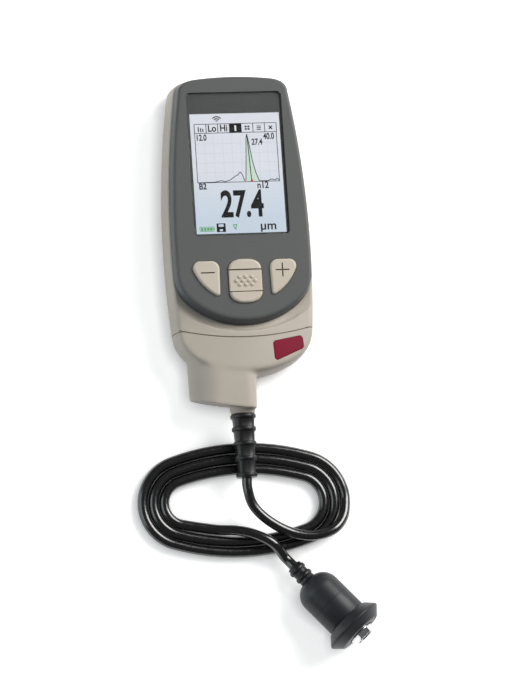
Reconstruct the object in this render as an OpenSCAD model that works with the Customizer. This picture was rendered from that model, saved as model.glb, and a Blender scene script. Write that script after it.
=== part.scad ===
// Coating thickness gauge with a cabled probe, lying on its back.
// Millimetres. X to the right of the face, Y to the top end, Z out of the face.
// The origin is on the back face, at the middle of the body.

/* [Case] */
// Height of the chin and cap at the middle, from the back
chin_height = 22; // [21.5:0.1:22.5]
// Distance from the middle of the body to its top end
body_top = 60.5; // [59:0.5:63]
// Radius of the bowed long sides
side_bow = 430; // [380:10:600]
// Radius of the bowed top end
top_bow = 150; // [110:10:240]
// Wall thickness of the moulded cases
wall = 2.2; // [1.8:0.1:2.6]

/* [Face] */
// Height of the faceplate above the back
face_height = 25.4; // [25:0.1:27]
// Radius of the faceplate's lower arc
face_arc = 38.4; // [36:0.2:42]
// Width of the lit display
screen_width = 41; // [38:0.2:44]
// Length of the lit display
screen_length = 55; // [50:0.2:55.4]
// Length of the display window, with its dark header
window_length = 65.6; // [63:0.2:66.4]

/* [Keys] */
// How far the keys stand out of the faceplate
key_rise = 1.2; // [0.8:0.1:1.8]
// Gap round each key
key_gap = 0.5; // [0.45:0.05:0.6]
// Width of the navigation key
nav_width = 15; // [13:0.2:16]
// Length of the navigation key
nav_length = 20; // [18:0.2:21]

/* [Probe connector] */
// Lowest point of the cap's rounded end
cap_bottom = -76.8; // [-78:0.2:-76]
// Width of the boss on the cap
boss_width = 29.5; // [27:0.5:31]
// Length of the boss below the cap's end
boss_length = 15; // [13:0.5:16]
// Length of the ribbed strain relief
relief_length = 28.5; // [24:0.5:30]

/* [Cable and probe] */
// Cable diameter
cable_diameter = 4.6; // [4:0.1:4.7]
// Radius of the probe's guard
guard_radius = 14.1; // [13:0.1:16]
// Radius of the probe's housing
probe_radius = 9.8; // [9:0.1:10.4]
// Length of the probe's housing behind the guard's rim
probe_length = 29; // [27:0.5:30]
// Direction of the probe's nose, turned from the cable end to the right
probe_heading = 40; // [37:0.5:43]

/* [Hidden] */
$fn = 40;

greige = [0.74, 0.70, 0.64];
slate = [0.36, 0.37, 0.37];
black = [0.07, 0.07, 0.08];
steel = [0.75, 0.76, 0.78];
gold = [0.85, 0.68, 0.30];
green = [0.10, 0.38, 0.22];

slide_gap = 0.3;
seat_gap = 0.1;
case_width = screen_width + 26;
window_width = screen_width + 2.6;
panel_margin = 1.5;
bulge_y = -18;
seam_y = -56;
end_share = 0.6;
cap_bow = 45;
crown_bow = 196;
rim_z = 19;
seam_z = 20;
seam_slope = 1.75;
face_inset = 1.8;
face_arc_y = -54.2 + face_arc;
face_thick = 2.6;
face_under = face_height - face_thick;

// The outlines

function quad(a, b, c, n) = [for (i = [0 : n]) let (t = i / n) (1 - t) * (1 - t) * a + 2 * t * (1 - t) * b + t * t * c];
function side_x(y, d) = case_width / 2 - pow(y - bulge_y, 2) / (2 * side_bow) - d;
function top_y(x, d) = body_top - x * x / (2 * top_bow) - d * end_share;
function cap_y(x, d) = cap_bottom + cap_bow - sqrt(pow(cap_bow - d * end_share, 2) - x * x);
function arc_y(x, d) = face_arc_y - sqrt(pow(face_arc - (d - face_inset) * 1.5, 2) - x * x);
function flip(p) = [for (i = [len(p) - 1 : -1 : 0]) [-p[i][0], p[i][1]]];

// Right half of the top corner and top end, up to but not on the middle line
function top_half(d) = let (y1 = body_top - 7.5, x1 = side_x(y1, d), x2 = side_x(body_top - 2.5, d), x3 = x2 - 6.5)
    concat(quad([x1, y1], [x2, top_y(x2, d)], [x3, top_y(x3, d)], 6), [for (t = [0.66, 0.33]) [t * x3, top_y(t * x3, d)]]);

// The whole case in plan, cap included, at an inset d from its widest line
function case_half(d) = let (xa = 21 - d / 3, xs = side_x(seam_y, d))
    concat([for (x = [5, 10, 15]) [x, cap_y(x, d)]],
        quad([xa, cap_y(xa, d)], [xs - 0.4, cap_y(xa, d) + 0.56 * (xs - 0.4 - xa)], [xs, seam_y], 6),
        [for (i = [1 : 10]) let (y = seam_y + i / 11 * (body_top - 7.5 - seam_y)) [side_x(y, d), y]], top_half(d));
function case_outline(d) = concat([[0, cap_y(0, d)]], case_half(d), [[0, top_y(0, d)]], flip(case_half(d)));

// The faceplate in plan, with its convex lower arc
function face_half(d) = let (xa = 23 - d / 3, ys = -31, xs = side_x(ys, d), slope = xa / sqrt(pow(face_arc, 2) - xa * xa))
    concat([for (x = [5.5, 11, 16.5]) [x, arc_y(x, d)]],
        quad([xa, arc_y(xa, d)], [xs, arc_y(xa, d) + slope * (xs - xa)], [xs, ys], 6),
        [for (i = [1 : 7]) let (y = ys + i / 8 * (body_top - 7.5 - ys)) [side_x(y, d), y]], top_half(d));
function face_outline(d) = concat([[0, arc_y(0, d)]], face_half(d), [[0, top_y(0, d)]], flip(face_half(d)));

// A key drawn by arcs round its corners: each corner is [x, y, radius, first angle, last angle]
function key_outline(corners, d) = [for (c = corners) for (i = [0 : 6]) let (a = c[3] + (c[4] - c[3]) * i / 6)
    [c[0] + (c[2] - d) * cos(a), c[1] + (c[2] - d) * sin(a)]];

// A solid skinned over rings: each ring is a list of 3D points, all of one length
module skin(rings) {
    n = len(rings[0]);
    m = len(rings);
    polyhedron(points = [for (r = rings) for (p = r) p],
        faces = concat([[for (i = [0 : n - 1]) i]], [[for (i = [n - 1 : -1 : 0]) (m - 1) * n + i]],
            [for (j = [0 : m - 2]) for (i = [0 : n - 1]) let (k = (i + 1) % n)
                [j * n + i, (j + 1) * n + i, (j + 1) * n + k, j * n + k]]));
}
function lift(outline, z) = [for (p = outline) [p[0], p[1], z]];

module round_rect(w, h, r) {
    square([w - 2 * r, h], center = true);
    square([w, h - 2 * r], center = true);
    for (x = [-1, 1]) for (y = [-1, 1]) translate([x * (w / 2 - r), y * (h / 2 - r)]) circle(r);
}

// The case

case_rings = [[0, 5.2], [0.7, 3.5], [1.9, 2], [3.8, 0.7], [6.5, 0], [10, 0], [14, 0.4], [17, 0.9], [rim_z, 1.4],
    [20.6, 2.4], [21.8, 4.2], [22.6, 6.8]];
cavity_rings = [[wall, 5.4], [4.5, 3.4], [7, 2.4], [10, 2.4], [14, 2.8], [17, 3.3], [rim_z, 3.8]];

module case_form() {
    intersection() {
        skin([for (r = case_rings) lift(case_outline(r[1]), r[0])]);
        translate([0, 100, chin_height - crown_bow]) rotate([90, 0, 0]) cylinder(h = 240, r = crown_bow, $fn = 120);
    }
}

// The seam's profile runs along X, so that the cap can slide off sideways
module below_seam(gap) {
    y = seam_y - gap;
    rotate([90, 0, 90]) translate([0, 0, -60]) linear_extrude(120)
        polygon([[y, -1], [y, seam_z], [y - seam_slope * 6, seam_z + 6], [-130, seam_z + 6], [-130, -1]]);
}

rail_neck_z = [7, 13];
rail_head_z = [5, 15];
rail_left = -24;
module rail(gap, left, right) {
    translate([left - gap, seam_y - 3 - gap, rail_neck_z[0] - gap])
        cube([right - left + gap, 4 + gap, rail_neck_z[1] - rail_neck_z[0] + 2 * gap]);
    translate([left - gap, seam_y - 6 - gap, rail_head_z[0] - gap])
        cube([right - left + gap, 3 + 2 * gap, rail_head_z[1] - rail_head_z[0] + 2 * gap]);
}

door_width = 40;
door_low = -12;
door_thick = 1.8;
bay_y = [-9, 46];
cell_radius = 5.2;
cell_length = 44.5;
cell_pitch = 11;
cell_z = 7.6;
bay_top = 13.4;
board_z = 15.2;
board_thick = 1.6;
boss_radius = 1.7;
screw_x = screen_width / 2 + panel_margin + boss_radius + 0.7;
screw_at = [for (y = [-37, 26]) for (x = [-screw_x, screw_x]) [x, y]];
post_radius = 2.6;
head_radius = 2.1;
head_top = 4;
shaft_radius = 1;

module door_shape(gap) {
    translate([-door_width / 2 - gap, door_low - gap, -1]) cube([door_width + 2 * gap, 80, door_thick / 2 + 1]);
    translate([-door_width / 2 - 1.2 - gap, door_low - gap, door_thick / 2 - gap])
        cube([door_width + 2.4 + 2 * gap, 80, door_thick / 2 + 2 * gap]);
}

// Room for the faceplate, cut away over the rim
module face_seat(gap) {
    skin([for (z = [rim_z, rim_z + 10]) lift(face_outline(face_inset - gap), z)]);
    translate([-50, -32, rim_z]) cube([100, 120, 10]);
}

module rear_case() color(greige) {
    difference() {
        union() {
            difference() {
                case_form();
                below_seam(0);
                intersection() {
                    skin([for (r = cavity_rings) lift(case_outline(r[1]), r[0])]);
                    translate([-50, seam_y + 2.6, 0]) cube([100, 140, 40]);
                }
                face_seat(0.2);
                // the ledge round the faceplate's arc
                difference() {
                    translate([0, -6.8, rim_z + 0.2]) cylinder(h = 10, r = 50, $fn = 120);
                    translate([0, 100, chin_height - 0.9 - crown_bow]) rotate([90, 0, 0])
                        cylinder(h = 240, r = crown_bow, $fn = 120);
                }
            }
            // thicker back round the battery door
            intersection() {
                translate([-door_width / 2 - 3, door_low - 2, wall - 0.4]) cube([door_width + 6, 80, 2]);
                skin([for (z = [wall - 1, wall + 3]) lift(case_outline(2.4), z)]);
            }
            // battery bay: side walls, end walls and roof
            translate([-door_width / 2 + 0.6, bay_y[0] - 1.4, wall - 0.4])
                cube([door_width - 1.2, bay_y[1] - bay_y[0] + 2.8, bay_top + 1.2 - wall + 0.4]);
            // posts for the case screws, and the board
            for (p = screw_at) translate([p[0], p[1], wall - 0.4]) cylinder(h = board_z - wall + 0.4, r = post_radius);
            // the rail that the probe connector slides on
            intersection() {
                rail(0, rail_left, 40);
                skin([for (r = [[3, 1.4], [6.5, 0.7], [10, 0.7], [16, 1.4]]) lift(case_outline(r[1]), r[0])]);
            }
        }
        translate([-door_width / 2 + 2, bay_y[0], -1]) cube([door_width - 4, bay_y[1] - bay_y[0], bay_top + 1]);
        door_shape(slide_gap);
        for (p = screw_at) translate([p[0], p[1], -1]) {
            cylinder(h = 40, r = shaft_radius + slide_gap);
            cylinder(h = head_top + 1, r = head_radius + 2 * seat_gap);
        }
        for (i = [-2.5 : 2.5]) translate([i * 7 - 1.1, seam_y - 6.1, 8]) cube([2.2, 0.6, 4]);
        case_seal_shape();
    }
}

seal_height = 0.7;
module case_seal_shape() intersection() {
    difference() {
        skin([for (z = [rim_z - seal_height, rim_z]) lift(face_outline(face_inset + 0.25), z)]);
        skin([for (z = [rim_z - 2, rim_z + 2]) lift(face_outline(face_inset + 0.95), z)]);
    }
    translate([-60, -31, rim_z - 2]) cube([120, 120, 4]);
}
module case_seal() color(black) case_seal_shape();

// The faceplate and display

face_rings = [[rim_z, face_inset], [22.5, face_inset + 0.5], [face_height - 1, face_inset + 0.95],
    [face_height - 0.3, face_inset + 1.25], [face_height, face_inset + 1.7]];
window_y = 51.6 - window_length / 2;
window_floor = face_height - 1.4;
screen_y = 14.5;
minus_corners = [[-15.1, -29.2, 3.7, 0, 90], [-20.4, -28.7, 3.2, 90, 222], [-12.9, -40.3, 1.2, 222, 360]];
plus_corners = [[20.4, -28.7, 3.2, -42, 90], [15.1, -29.2, 3.7, 90, 180], [12.9, -40.3, 1.2, 180, 318]];
nav_y = -35;
nav_corners = let (x = nav_width / 2, y = nav_length / 2) [
    [x - 4.4, nav_y + y - 4.8, 4.4, 0, 78], [0, nav_y + y - 30, 30, 84, 96], [-x + 4.4, nav_y + y - 4.8, 4.4, 102, 180],
    [-x + 4.8, nav_y - y + 5.2, 4.8, 180, 258], [0, nav_y - y + 30, 30, 264, 276], [x - 4.8, nav_y - y + 5.2, 4.8, 282, 360]];
key_sets = [minus_corners, plus_corners, nav_corners];

module front_shell() color(slate) {
    difference() {
        skin([for (r = face_rings) lift(face_outline(r[1]), r[0])]);
        skin([for (r = [[rim_z - 0.1, face_inset + 1.8], [face_under, face_inset + 2.4]]) lift(face_outline(r[1]), r[0])]);
        translate([0, window_y, window_floor]) linear_extrude(5) round_rect(window_width + 0.2, window_length + 0.2, 2.1);
        translate([0, screen_y, face_under - 1]) linear_extrude(5) square([screen_width + 1, screen_length + 1], center = true);
        for (k = key_sets) skin([for (z = [face_under - 1, face_height + 1]) lift(key_outline(k, -key_gap), z)]);
    }
    // bosses that take the case screws
    for (p = screw_at) translate([p[0], p[1], board_z + board_thick]) difference() {
        cylinder(h = face_under + 0.3 - board_z - board_thick, r = boss_radius);
        translate([0, 0, -1]) cylinder(h = 4.5, r = shaft_radius);
    }
}

module display_window() color([0.25, 0.27, 0.28, 0.6]) translate([0, window_y, window_floor])
    linear_extrude(1.1) round_rect(window_width, window_length, 2);

panel_top = face_under - 1;
module display_gasket() color(black) translate([0, screen_y, panel_top]) linear_extrude(1) difference() {
    square([screen_width + 2 * panel_margin, screen_length + 2 * panel_margin], center = true);
    square([screen_width + 1.2, screen_length + 1.2], center = true);
}
module display_panel() color([0.86, 0.89, 0.93]) translate([0, screen_y, panel_top - 2]) linear_extrude(2)
    square([screen_width + 2 * panel_margin, screen_length + 2 * panel_margin], center = true);
module display_holder() color([0.9, 0.9, 0.88]) translate([0, screen_y, board_z + board_thick])
    linear_extrude(panel_top - 2 - board_z - board_thick) difference() {
        square([screen_width + 2 * panel_margin, screen_length + 2 * panel_margin], center = true);
        square([screen_width - 4, screen_length - 4], center = true);
    }

// The keys

key_bottom = face_under - 1.3;
module key_cap(corners, top) {
    skin([for (r = [[key_bottom + 0.3, 0], [top - 0.9, 0], [top - 0.35, 0.15], [top - 0.1, 0.45], [top, 1]])
        lift(key_outline(corners, r[1]), r[0])]);
    skin([for (z = [key_bottom, key_bottom + 0.7]) lift(key_outline(corners, -key_gap - 0.5), z)]);
}
mark_length = 6.6;
module mark(x, y, turned) translate([x, y, face_height + key_rise - 0.3]) rotate(turned) linear_extrude(2) {
    square([mark_length - 0.8, 0.8], center = true);
    for (s = [-1, 1]) translate([s * (mark_length - 0.8) / 2, 0]) circle(0.4);
}
module minus_key() color(greige) difference() {
    key_cap(minus_corners, face_height + key_rise);
    mark(-17, -31, 0);
}
module plus_key() color(greige) difference() {
    key_cap(plus_corners, face_height + key_rise);
    union() {
        mark(17, -30.6, 0);
        mark(17, -30.6, 90);
    }
}
nav_split = [nav_y - 4.6, nav_y + 4.8];
nav_gap = 0.5;
bridge_top = face_height - 2;
stem_radius = 2.2;
stem_room = 3.5;
module nav_rocker() color(greige) difference() {
    key_cap(nav_corners, face_height + key_rise + 0.2);
    translate([-20, nav_split[0] - nav_gap, bridge_top]) cube([40, nav_split[1] - nav_split[0] + 2 * nav_gap, 10]);
    translate([-stem_room, nav_y - stem_room, 0]) cube([2 * stem_room, 2 * stem_room, 40]);
}
module nav_center_key() color(greige) {
    top = face_height + key_rise - 0.3;
    intersection() {
        skin([for (r = [[bridge_top + 1, 0], [top - 0.5, 0], [top - 0.1, 0.2], [top, 0.6]]) lift(key_outline(nav_corners, r[1]), r[0])]);
        translate([-20, nav_split[0], 0]) cube([40, nav_split[1] - nav_split[0], 40]);
    }
    translate([0, nav_y, key_bottom - 0.2]) cylinder(h = bridge_top + 1.5 - key_bottom, r = stem_radius);
    for (r = [-1, 0, 1]) for (i = [0 : (r == 0 ? 3 : 2)])
        translate([(i - (r == 0 ? 1.5 : 1)) * 2.6, nav_y + r * 1.65, top - 0.35]) sphere(0.65, $fn = 16);
}
switch_at = [[-16.5, -31.5], [16.5, -31.5], [0, nav_y], [0, nav_y + 7.4], [0, nav_y - 7.4]];
mat_top = key_bottom - 1;
module keypad_mat() color([0.3, 0.3, 0.3]) {
    translate([0, nav_y + 0.5, mat_top - 0.8]) linear_extrude(0.8) round_rect(42, 22.5, 3);
    for (p = switch_at) translate([p[0], p[1], board_z + board_thick + 0.5]) cylinder(h = mat_top - board_z - board_thick - 1, r = 2.4);
}
module dome_switches() color(steel) for (p = switch_at) translate([p[0], p[1], board_z + board_thick]) cylinder(h = 0.5, r1 = 3, r2 = 2.2);

// The board and the cells

module main_board() color(green) difference() {
    translate([0, 0, board_z]) linear_extrude(board_thick) intersection() {
        polygon(case_outline(4.3));
        translate([-case_width, seam_y + 6]) square([2 * case_width, body_top - 7 - seam_y - 6]);
    }
    for (p = screw_at) translate([p[0], p[1], 0]) cylinder(h = 40, r = shaft_radius + slide_gap);
}
module board_chips() color(black) {
    for (c = [[-12, 5, 10], [4, 4, 8], [14, 18, 6], [-12, 26, 7]])
        translate([c[0] - c[2] / 2, c[1] - c[2] / 2, board_z + board_thick]) cube([c[2], c[2], 1.2]);
    translate([-12, -49.6, board_z + board_thick]) cube([24, 3.4, 1.4]);
}
module cell(i) {
    x = i * cell_pitch;
    up = i == 0 ? -1 : 1;
    y0 = (bay_y[0] + bay_y[1]) / 2;
    translate([x, y0 - up * cell_length / 2, cell_z]) rotate([-90 * up, 0, 0]) {
        cylinder(h = cell_length - 0.8, r = cell_radius);
        cylinder(h = cell_length, r = 1.9);
    }
}
module cell_left() color([0.15, 0.3, 0.6]) cell(-1);
module cell_middle() color([0.15, 0.3, 0.6]) cell(0);
module cell_right() color([0.15, 0.3, 0.6]) cell(1);
function minus_end(i) = let (y0 = (bay_y[0] + bay_y[1]) / 2) i == 0 ? y0 + cell_length / 2 : y0 - cell_length / 2;
module cell_springs() color(steel) for (i = [-1 : 1]) {
    up = i == 0 ? 1 : -1;
    wall_y = up > 0 ? bay_y[1] : bay_y[0];
    reach = abs(wall_y - minus_end(i));
    translate([i * cell_pitch, minus_end(i), cell_z]) rotate([-90 * up, 0, 0]) {
        cylinder(h = reach, r1 = 2, r2 = 3.6);
        translate([-4, -4.4, reach - 0.4]) cube([8, 8.8, 0.4]);
    }
}
module cell_contacts() color(steel) for (i = [-1 : 1]) {
    up = i == 0 ? -1 : 1;
    wall_y = up > 0 ? bay_y[1] : bay_y[0];
    end_y = (bay_y[0] + bay_y[1]) / 2 + up * cell_length / 2;
    reach = abs(wall_y - end_y);
    translate([i * cell_pitch, end_y, cell_z]) rotate([-90 * up, 0, 0]) {
        translate([-3, -3, 0]) cube([6, 6, 0.4]);
        translate([-3, -3, 0]) cube([0.6, 6, reach]);
        translate([-4, -4.4, reach - 0.4]) cube([8, 8.8, 0.4]);
    }
}
module battery_door() color(greige) difference() {
    intersection() {
        case_form();
        door_shape(0);
    }
    for (i = [-2 : 2]) translate([-7 + abs(i) * 0.6, door_low + 9 + i * 2, -0.5]) cube([14 - abs(i) * 1.2, 0.8, 0.9]);
}
module case_screws() color(steel) for (p = screw_at) translate([p[0], p[1], 0]) {
    translate([0, 0, head_top - 1.8]) difference() {
        cylinder(h = 1.8, r = head_radius);
        for (a = [0, 90]) rotate(a) translate([-1.4, -0.3, -0.5]) cube([2.8, 0.6, 1.3]);
    }
    translate([0, 0, head_top - 0.5]) cylinder(h = board_z + board_thick + 3.3 - head_top, r = shaft_radius);
}

// The probe connector

module rail_contacts() color(gold) for (i = [-2.5 : 2.5]) translate([i * 7 - 1.1, seam_y - 6, 8]) cube([2.2, 0.5, 4]);

boss_x = -11;
boss_end = cap_bottom - boss_length;
boss_z = [1.5, 20.5];
relief_x = -2.5;
relief_z = 11.5;
spout = 1.5;
relief_top = boss_end - spout;
relief_end = relief_top - relief_length;
module_floor = seam_y - 6 - slide_gap;
room_low = -71;

// The boss is a rounded block: its front slopes from the cap's front, and it narrows a little to its end
function boss_ring(y, d, top) = let (w = boss_width / 2 - d, zc = (boss_z[0] + top) / 2, h = (top - boss_z[0]) / 2 - d, r = 8)
    [for (q = [0 : 3]) for (i = [0 : 6]) let (a = q * 90 + i * 15, sx = (q == 0 || q == 3) ? 1 : -1, sz = q < 2 ? 1 : -1)
        [boss_x + sx * (w - r) + r * cos(a), y, zc + sz * (h - r) + r * sin(a)]];

module connector_cap() color(greige) difference() {
    union() {
        intersection() {
            case_form();
            below_seam(seat_gap);
        }
        skin([boss_ring(-66, 0, chin_height - 0.3), boss_ring(-76, 0, boss_z[1] + 0.5), boss_ring(-80, 0, boss_z[1]),
            boss_ring(boss_end + 0.8, 0.5, boss_z[1]), boss_ring(boss_end, 1.2, boss_z[1])]);
        translate([relief_x, boss_end + 2, relief_z]) rotate([90, 0, 0]) cylinder(h = 2 + spout, r1 = 7.4, r2 = 5.9);
    }
    rail(slide_gap, rail_left, 60);
    // room for the board and the cable's end
    translate([-16, room_low, 4]) cube([30, module_floor - 1.6 - room_low, 14]);
    translate([relief_x, room_low + 1, relief_z]) rotate([90, 0, 0]) cylinder(h = 60, r = 4.2);
    for (i = [-2.5 : 2.5]) translate([i * 7 - 1.1, module_floor - 0.5, 8]) cube([2.2, 0.6, 4]);
    badge_shape(0.1);
}
badge_at = [18.6, -64.2];
module badge_shape(gap) {
    intersection() {
        translate([badge_at[0], badge_at[1], 15]) rotate(4) linear_extrude(10)
            polygon(key_outline([[4.8, 1.8, 1.8 + gap, 0, 90], [-4.8, 1.5, 1.8 + gap, 90, 180], [-5, -3.4, 1.6 + gap, 180, 270],
                [4.6, -0.9, 2 + gap, 270, 360]], 0));
        difference() {
            translate([0, 100, chin_height - crown_bow]) rotate([90, 0, 0]) cylinder(h = 240, r = crown_bow, $fn = 120);
            translate([0, 100, chin_height - 0.6 - crown_bow]) rotate([90, 0, 0]) cylinder(h = 240, r = crown_bow, $fn = 120);
        }
    }
}
module cap_badge() color([0.57, 0.06, 0.22]) badge_shape(0);
module module_board() color(green) translate([-15.5, room_low + 0.5, 7]) cube([29, module_floor - 1.6 - room_low - 0.5, 1.6]);
module module_contacts() color(gold) for (i = [-2.5 : 2.5]) translate([i * 7 - 1.1, module_floor - 0.5, 8]) cube([2.2, 0.5, 4]);
module strain_relief() color(black) translate([relief_x, relief_top, relief_z]) rotate([90, 0, 0]) {
    translate([0, 0, -6]) cylinder(h = 6.5, r = 4.1);
    cylinder(h = relief_length, r1 = 5.1, r2 = 3.9);
    cylinder(h = 1.8, r = 5.8);
    for (i = [1 : 4]) let (s = i * (relief_length - 2) / 4) translate([0, 0, s - 0.9 + (i == 4 ? 0.9 : 0)])
        rotate_extrude() polygon([[0, 0], [5.5 - i * 0.22, 0], [5.9 - i * 0.22, 0.4], [5.9 - i * 0.22, 1.5], [5.5 - i * 0.22, 2], [0, 2]]);
}

// The probe lies on its guard's rim and on its rounded rear shoulder

shoulder = 8;
guard_front = 4.3;
boot_length = 9;
core_depth = probe_length - 5;
lean_arm = probe_length - shoulder;
lean_drop = guard_radius - (probe_radius - shoulder);
probe_tilt = atan2(lean_drop, lean_arm) - asin(shoulder / sqrt(lean_arm * lean_arm + lean_drop * lean_drop));
probe_axis = [sin(probe_heading) * cos(probe_tilt), -cos(probe_heading) * cos(probe_tilt), sin(probe_tilt)];
probe_at = [41, -190.5, guard_radius * cos(probe_tilt)];
module along_probe() translate(probe_at) rotate([90 - probe_tilt, 0, probe_heading]) children();

module probe_boot() color(black) along_probe() translate([0, 0, -probe_length - boot_length]) rotate_extrude()
    polygon([[0, 0], [3.3, 0], [3.4, 1.4], [4, 1.8], [4, 3.2], [3.4, 3.6], [3.5, 5.4], [4.2, 5.8], [4.2, 7.2], [3.6, 7.6],
        [3.7, boot_length], [3, boot_length], [3, boot_length + 3], [0, boot_length + 3]]);
module probe_housing() color(black) along_probe() rotate_extrude() difference() {
    union() {
        translate([0, -probe_length]) square([probe_radius - shoulder, shoulder]);
        translate([0, -probe_length + shoulder]) square([probe_radius, probe_length - shoulder - 1]);
        intersection() {
            translate([probe_radius - shoulder, -probe_length + shoulder]) circle(shoulder);
            translate([0, -probe_length]) square([probe_radius, shoulder]);
        }
    }
    translate([-1, -probe_length - 1]) square([4.05, 5.2]);
    translate([-1, -core_depth]) square([7.5, core_depth + 6]);
    translate([-1, -core_depth - 3]) square([3.5, 5]);
}
module probe_guard() color(black) along_probe() rotate_extrude()
    polygon([[6.5, -1], [probe_radius, -1], [probe_radius, -4], [probe_radius + 0.9, -4], [guard_radius - 0.4, -0.7], [guard_radius, 0],
        [guard_radius - 0.1, 0.7], [10.5, guard_front - 0.2], [10.2, guard_front], [6.4, guard_front], [6.4, 2.6], [4.4, 2.6], [4.4, 1], [6.5, 1]]);
module sensor_holder() color([0.7, 0.6, 0.35]) along_probe() rotate_extrude()
    polygon([[2.6, -core_depth], [6.5, -core_depth], [6.5, 1], [4.4, 1], [4.4, -3], [2.6, -3]]);
module sensor_ferrule() color(steel) along_probe() difference() {
    union() {
        translate([0, 0, -3]) cylinder(h = 5.6, r = 4.4);
        translate([0, 0, 2.6]) cylinder(h = 2.2, r = 5.9);
        intersection() {
            translate([0, 0, 4.8]) cylinder(h = 2.5, r = 5.3, $fn = 6);
            translate([0, 0, 4.8]) cylinder(h = 2.5, r1 = 6.6, r2 = 4.7);
        }
    }
    translate([0, 0, -4]) cylinder(h = 10.8, r = 2.6);
    translate([0, 0, 6.1]) cylinder(h = 4, r = 4);
}
module sensor_face() color([0.3, 0.3, 0.31]) along_probe() translate([0, 0, 6.1]) difference() {
    cylinder(h = 0.8, r = 4);
    translate([0, 0, 0.4]) cylinder(h = 1, r = 0.5);
}
module sensor_dot() color([0.95, 0.95, 0.95]) along_probe() translate([0, 0, 6.5]) cylinder(h = 0.5, r = 0.5);
module transducer() color([0.8, 0.75, 0.6]) along_probe() translate([0, 0, -core_depth + 2]) cylinder(h = core_depth + 4.1, r = 2.6);

// The cable: led out of the strain relief, laid in an oval coil, and on to the probe

cable_start = [relief_x, relief_end, relief_z];
cable_end = probe_at - probe_axis * (probe_length + boot_length);
coil_middle = [-4, -132];
coil_half = [47.4, 26];
coil_bend = 21.8;
coil_turn = 4.9;
bend_turn = 4.72;
coil_steps = 20;
table_z = 2.5;

// A point on the coil after so many turns: an oval of four arcs, with tight ends and slack sides, that shrinks as it
// winds. It is stepped evenly by its direction.
function coil_point(turns) = let (b = coil_half[1] - turns * coil_turn, r = coil_bend - turns * bend_turn,
    e = coil_half[0] - turns * coil_turn - r, k = (e * e - (b - r) * (b - r)) / (2 * (b - r)),
    c = cos(360 * turns), s = sin(360 * turns),
    p = abs(s) * e < abs(c) * k ? [sign(c) * e + r * c, r * s] : [(b + k) * c, (b + k) * s - sign(s) * k])
    [coil_middle[0] + p[0], coil_middle[1] + p[1], table_z];

lead_in = [cable_start, cable_start + [0, -5, -0.2], [0, -134.5, 9.8], [7, -141.5, 8.6], [17, -147, 7.8], [27, -148.7, 7.6],
    [36, -146.5, 7.3], [41.5, -140.6, 5]];
coil = [for (k = [0 : 54]) coil_point(k / coil_steps)];
lead_out = [[-17, -143.6, 3.4], [-8, -144.7, 6], [0, -147, 8], [8, -151.6, 8.8], cable_end - probe_axis * 5.5, cable_end];
cable_points = concat(lead_in, coil, lead_out);

function spline(p, i, t) = let (n = len(p) - 1, a = p[max(i - 1, 0)], b = p[i], c = p[min(i + 1, n)], d = p[min(i + 2, n)])
    0.5 * (2 * b + t * (c - a) + t * t * (2 * a - 5 * b + 4 * c - d) + t * t * t * (3 * b - a - 3 * c + d));
function unit(v) = v / norm(v);
// Rings between two points: one in the coil, whose points lie close, and two in the leads
function rings(i) = i >= len(lead_in) - 1 && i < len(lead_in) + len(coil) ? 1 : 2;
cable_line = concat([for (i = [0 : len(cable_points) - 2]) for (j = [0 : rings(i) - 1]) spline(cable_points, i, j / rings(i))],
    [cable_end]);
function heading(i) = let (n = len(cable_line) - 1) i == 0 ? [0, -1, 0] : i == n ? probe_axis
    : unit(cable_line[i + 1] - cable_line[i - 1]);
cable_sides = 10;
function cable_ring(i) = let (t = heading(i), s = unit(cross(t, [0, 0, 1])), u = cross(s, t))
    [for (k = [0 : cable_sides - 1]) let (a = -k * 360 / cable_sides)
        cable_line[i] + cable_diameter / 2 * (cos(a) * s + sin(a) * u)];
module probe_cable() color(black) skin([for (i = [0 : len(cable_line) - 1]) cable_ring(i)]);

rear_case();
front_shell();
case_seal();
display_window();
display_gasket();
display_panel();
display_holder();
minus_key();
plus_key();
nav_rocker();
nav_center_key();
keypad_mat();
dome_switches();
main_board();
board_chips();
cell_left();
cell_middle();
cell_right();
cell_springs();
cell_contacts();
battery_door();
case_screws();
rail_contacts();
connector_cap();
cap_badge();
module_board();
module_contacts();
strain_relief();
probe_cable();
probe_boot();
probe_housing();
probe_guard();
sensor_holder();
sensor_ferrule();
sensor_face();
sensor_dot();
transducer();
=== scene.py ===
import math

import bmesh
import bpy
from mathutils import Matrix, Vector


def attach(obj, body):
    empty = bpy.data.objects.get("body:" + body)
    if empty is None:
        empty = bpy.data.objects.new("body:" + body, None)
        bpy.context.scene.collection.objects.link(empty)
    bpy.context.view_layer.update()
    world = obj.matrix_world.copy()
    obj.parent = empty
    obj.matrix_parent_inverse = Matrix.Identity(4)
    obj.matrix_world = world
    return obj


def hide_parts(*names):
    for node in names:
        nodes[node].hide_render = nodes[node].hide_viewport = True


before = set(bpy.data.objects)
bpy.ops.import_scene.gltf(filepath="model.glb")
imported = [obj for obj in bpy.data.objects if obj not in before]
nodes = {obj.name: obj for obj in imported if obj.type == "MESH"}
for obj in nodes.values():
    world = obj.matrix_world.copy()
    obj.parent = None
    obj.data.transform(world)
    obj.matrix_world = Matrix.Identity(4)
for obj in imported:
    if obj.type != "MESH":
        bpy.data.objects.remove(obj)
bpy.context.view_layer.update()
bpy.ops.object.select_all(action="DESELECT")

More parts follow.
